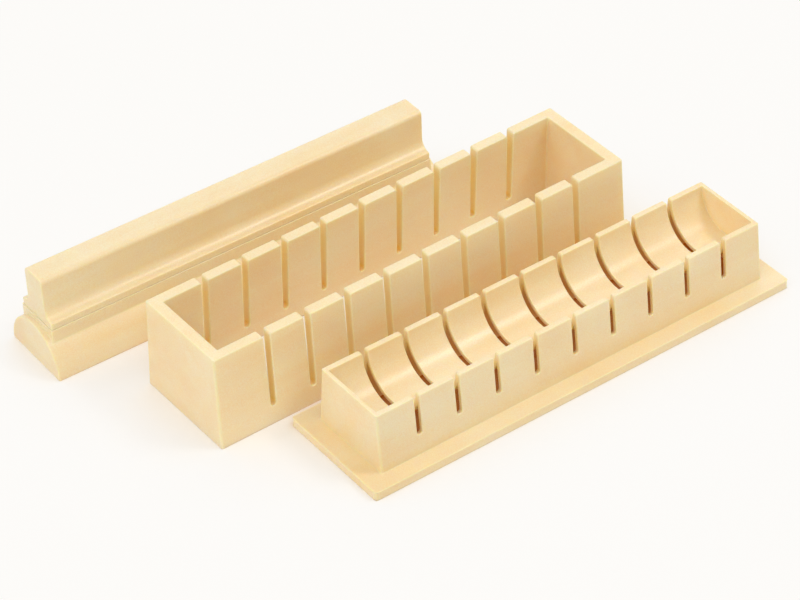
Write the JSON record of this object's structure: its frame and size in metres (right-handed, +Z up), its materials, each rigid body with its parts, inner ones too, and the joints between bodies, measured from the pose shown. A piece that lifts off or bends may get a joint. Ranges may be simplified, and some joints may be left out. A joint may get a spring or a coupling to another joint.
{
  "type": "sushi rice mold press",
  "caption": "Moulded press for round rice rolls: a flanged trough tray and a bottomless frame, both slotted for a knife, and a half-round press head on a bar handle.",
  "frame": {"origin": "middle of the three pieces' footprint, on the table they stand on", "axes": "+X along the pieces, +Y across the row from the tray over the frame to the press, +Z up"},
  "size_m": [0.2787, 0.1791, 0.0452],
  "materials": {
    "ivory_plastic": "satin moulded ivory polypropylene"
  },
  "bodies": {
    "base": {"base_tray": "ivory_plastic"},
    "frame": {"slotted_frame": "ivory_plastic"},
    "press": {"press_head": "ivory_plastic", "press_handle": "ivory_plastic"}
  },
  "joints": [
    {"name": "frame_lift", "type": "slide", "parent": "base", "child": "frame", "axis": [0, 0, 1], "range_m": [0, 0.06]},
    {"name": "press_lift", "type": "slide", "parent": "base", "child": "press", "axis": [0, 0, 1], "range_m": [0, 0.06]}
  ]
}
